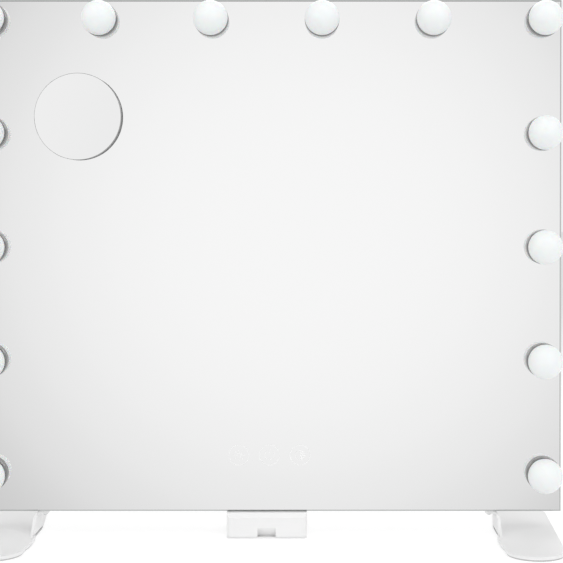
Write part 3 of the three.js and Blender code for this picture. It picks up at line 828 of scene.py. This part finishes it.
def magnifier():
    """The magnifier: a turned dish, and the concave mirror that covers its whole front."""
    low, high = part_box("magnifier_dish")
    spot = middle("magnifier_dish")
    radius = (high.z - low.z) / 2
    wall = 1.8 * MM
    dish_profile = [
        (0, high.y),
        (radius, high.y),
        (radius, low.y),
        (radius - wall, low.y),
        (radius - wall, high.y - wall),
        (0, high.y - wall),
    ]
    dish_radii = [0, 1 * MM, 0.2 * MM, 0, 0.2 * MM, 0]
    dish = lathe("magnifier_shell", eased(dish_profile, dish_radii), (spot.x, spot.z), 160)
    settle(dish, MAGNIFIER, MATERIALS["chrome"], "chrome", "magnifier_dish")
    mirror_low, mirror_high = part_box("magnifier_mirror")
    reach = (mirror_high.z - mirror_low.z) / 2
    sag, steps = 0.4 * MM, 24
    bevel = 0.35 * MM
    face = [(0, mirror_low.y + sag)]
    for step in range(1, steps + 1):
        share = step / steps
        face.append(((reach - bevel) * share, mirror_low.y + sag * (1 - share**2)))
    rim = [(reach, mirror_low.y + bevel), (reach, mirror_high.y), (0, mirror_high.y)]
    glass = lathe("magnifier_glass", face + rim, (spot.x, spot.z), 160)
    glass.data.materials.append(MATERIALS["silvered_glass"])
    glass.data.materials.append(MATERIALS["chrome"])
    for polygon in glass.data.polygons:
        polygon.material_index = 0 if polygon.normal.y < -0.9 else 1
    settle(glass, MAGNIFIER, MATERIALS["silvered_glass"], "silvered_glass", "magnifier_mirror")
    pad_low, pad_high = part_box("magnifier_pad")
    pad_reach = (pad_high.z - pad_low.z) / 2
    pad_profile = [(0, pad_low.y), (pad_reach, pad_low.y), (pad_reach, pad_high.y), (0, pad_high.y)]
    pad = lathe("magnifier_grip", eased(pad_profile, [0, 0.4 * MM, 0.4 * MM, 0]), (spot.x, spot.z), 96)
    settle(pad, MAGNIFIER, MATERIALS["rubber"], "rubber", "magnifier_pad")


# ---------------------------------------------------------------- materials of the CAD nodes that stay


def dress_cad_nodes():
    for entry in frame["record"]["subparts"]:
        node = NODES[entry["node"]]
        if node.hide_render:
            continue
        material = MATERIALS[entry["material_slot"]]
        if entry["node"] == "back_panel":
            material = BACK_SHEET
        for index in range(len(node.material_slots)):
            node.material_slots[index].material = material
        soften(node, 0.35 * MM, 2)


# ---------------------------------------------------------------- camera, floor and light


def camera():
    """A long lens in front of the glass, right of the middle and a little above its centre."""
    data = bpy.data.cameras.new("camera")
    piece = bpy.data.objects.new("camera", data)
    bpy.context.scene.collection.objects.link(piece)
    data.lens = 90.44
    data.sensor_width = 36
    data.shift_x = -0.0541
    data.shift_y = -0.115
    data.clip_start = 0.05
    data.clip_end = 60
    piece.location = (0.046, GLASS_FRONT - 1.4404, 0.341)
    piece.rotation_euler = (math.radians(90 - 0.574), 0, 0)
    bpy.context.scene.camera = piece


def floor():
    bm = bmesh.new()
    bmesh.ops.create_grid(bm, x_segments=1, y_segments=1, size=15)
    piece = finish_mesh("studio_floor", bm, None)
    piece.data.materials.append(studio_floor())
    piece.visible_glossy = False


BACKDROP_EDGE = 16  # degrees from the backdrop's middle
BACKDROP_DROP = 0.33  # how much darker it is there


def studio_world():
    """White surroundings, softly darker away from the middle of what the mirror faces, and dim overhead."""
    world = bpy.data.worlds.new("studio")
    bpy.context.scene.world = world
    world.use_nodes = True
    nodes, links = world.node_tree.nodes, world.node_tree.links
    background = nodes["Background"]
    place = nodes.new("ShaderNodeTexCoord")
    dot = nodes.new("ShaderNodeVectorMath")
    dot.operation = "DOT_PRODUCT"
    dot.inputs[1].default_value = Vector((-0.008, -1, -0.016)).normalized()
    angle = nodes.new("ShaderNodeMath")
    angle.operation = "ARCCOSINE"
    ramp = nodes.new("ShaderNodeValToRGB")
    spread = nodes.new("ShaderNodeMapRange")
    spread.inputs["From Max"].default_value = math.radians(90)
    links.new(place.outputs["Generated"], dot.inputs[0])
    links.new(dot.outputs["Value"], angle.inputs[0])
    links.new(angle.outputs["Value"], spread.inputs["Value"])
    links.new(spread.outputs["Result"], ramp.inputs["Fac"])
    steps = [(degrees, 0.99 - BACKDROP_DROP * (degrees / BACKDROP_EDGE) ** 3) for degrees in range(0, 17, 2)]
    steps += [(20, 0.64), (35, 0.78), (60, 0.86)]
    ramp.color_ramp.interpolation = "CARDINAL"
    elements = ramp.color_ramp.elements
    for index, (degrees, value) in enumerate(steps):
        element = elements[index] if index < 2 else elements.new(degrees / 90)
        element.position = degrees / 90
        element.color = (*grey(value), 1)
    height = nodes.new("ShaderNodeSeparateXYZ")
    overhead = nodes.new("ShaderNodeMapRange")
    overhead.interpolation_type = "SMOOTHSTEP"
    overhead.inputs["From Min"].default_value = 0.35
    overhead.inputs["From Max"].default_value = 0.95
    overhead.inputs["To Min"].default_value = 1
    overhead.inputs["To Max"].default_value = 0.6
    links.new(place.outputs["Generated"], height.inputs["Vector"])
    links.new(height.outputs["Z"], overhead.inputs["Value"])
    links.new(overhead.outputs["Result"], background.inputs["Strength"])
    links.new(ramp.outputs["Color"], background.inputs["Color"])


def area_light(name, place, target, size, power):
    data = bpy.data.lights.new(name, "AREA")
    data.shape = "RECTANGLE"
    data.size, data.size_y = size
    data.energy = power
    piece = bpy.data.objects.new(name, data)
    bpy.context.scene.collection.objects.link(piece)
    piece.location = place
    piece.rotation_euler = (Vector(target) - Vector(place)).to_track_quat("-Z", "Y").to_euler()
    return piece


def lights():
    target = (0, 0, 0.25)
    area_light("key_softbox", (1.7, -1.6, 1.9), target, (1.6, 1.6), 12)
    area_light("fill_softbox", (-1.9, -1.5, 1.6), target, (1.6, 1.6), 8)
    area_light("front_softbox", (0, -0.9, 2.4), target, (2.4, 1.2), 12)
    area_light("rear_softbox", (0.4, 1.9, 2.0), target, (2.4, 1.6), 16)


bpy.context.scene.view_settings.view_transform = "Standard"
camera()
floor()
studio_world()
lights()
mirror_glass()
lamps()
touch_marks()
feet()
hub()
foot_screws()
magnifier()
dress_cad_nodes()
